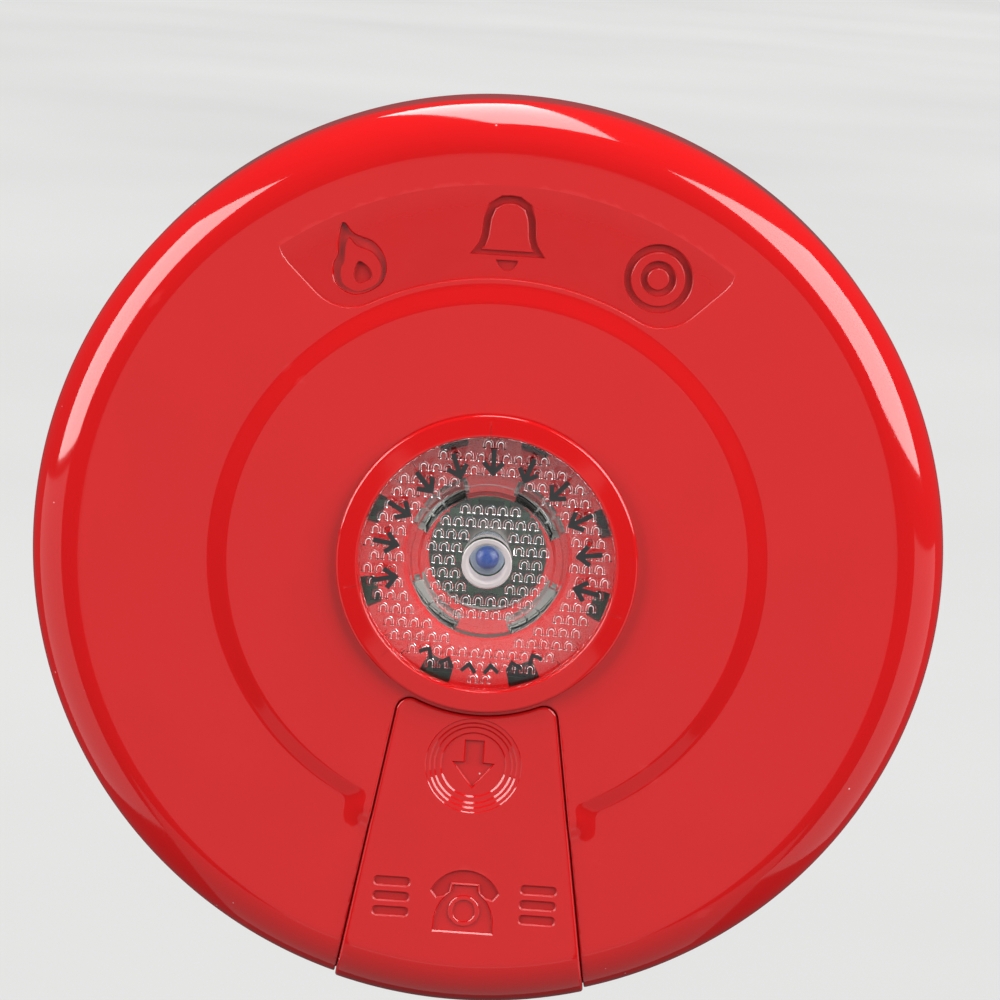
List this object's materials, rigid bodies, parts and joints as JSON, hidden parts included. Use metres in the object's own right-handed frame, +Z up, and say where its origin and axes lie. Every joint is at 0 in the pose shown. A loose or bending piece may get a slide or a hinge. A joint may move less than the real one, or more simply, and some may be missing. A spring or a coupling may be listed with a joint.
{
  "type": "manual fire alarm call point",
  "caption": "Round red panel-mounted fire alarm call point with a clear press plate, a response lamp and a sliding cover over a telephone jack.",
  "frame": {"origin": "centre of the round face that lies on the panel, where the rear housing enters the panel's cut-out", "axes": "+Z up, the face with the press plate looks along -Y, the rear housing runs along +Y into the panel, +X to the right seen from the front"},
  "size_m": [0.13, 0.0462, 0.1305],
  "materials": {
    "red_shell": "smooth glossy red ABS",
    "red_ring": "smooth glossy red ABS",
    "clear_plate": "clear polycarbonate",
    "white_plastic": "white nylon",
    "blue_lamp": "tinted epoxy lamp",
    "board_green": "solder-masked board",
    "black_plastic": "fine-textured black ABS",
    "grey_plastic": "glass-filled nylon",
    "steel": "zinc-plated steel",
    "nickel": "nickel plate",
    "brass": "turned brass",
    "black_rubber": "soft black rubber",
    "resistor_coat": "lacquered resistor",
    "capacitor_sleeve": "shrink sleeve"
  },
  "bodies": {
    "casing": {"front_cover": "red_shell", "threaded_inserts": "brass", "rim_gasket": "black_rubber", "button_bezel": "red_ring", "return_spring": "steel", "detent_spring": "steel", "led": "blue_lamp", "led_spacer": "white_plastic", "circuit_board": "board_green", "board_screws": "steel", "resistors": "resistor_coat", "diode": "black_plastic", "capacitor": "capacitor_sleeve", "switch_body": "grey_plastic", "switch_pins": "nickel", "jack_body": "black_plastic", "jack_bushing": "nickel", "jack_washer": "nickel", "jack_nut": "nickel", "jack_contacts": "brass", "terminal_block": "grey_plastic", "terminal_clamps": "nickel", "terminal_screws": "steel", "back_housing": "black_plastic", "case_screws": "steel"},
    "press_button": {"press_plate": "clear_plate", "actuator_ring": "white_plastic"},
    "switch_button": {"switch_plunger": "white_plastic"},
    "sliding_cover": {"phone_cover": "red_shell", "slide_clips": "white_plastic", "clip_screws": "steel"}
  },
  "joints": [
    {"name": "plate_press", "type": "slide", "parent": "casing", "child": "press_button", "axis": [0, 1, 0], "range_m": [0, 0.003], "stiffness_N_per_m": 500, "springref_m": -0.006, "deforming": ["return_spring"]},
    {"name": "switch_press", "type": "slide", "parent": "casing", "child": "switch_button", "axis": [0, 1, 0], "range_m": [0, 0.003]},
    {"name": "cover_slide", "type": "slide", "parent": "casing", "child": "sliding_cover", "axis": [0, 0, -1], "range_m": [0, 0.026]}
  ],
  "couplings": [
    {"joint": "switch_press", "follows": "plate_press", "ratio": 1}
  ]
}
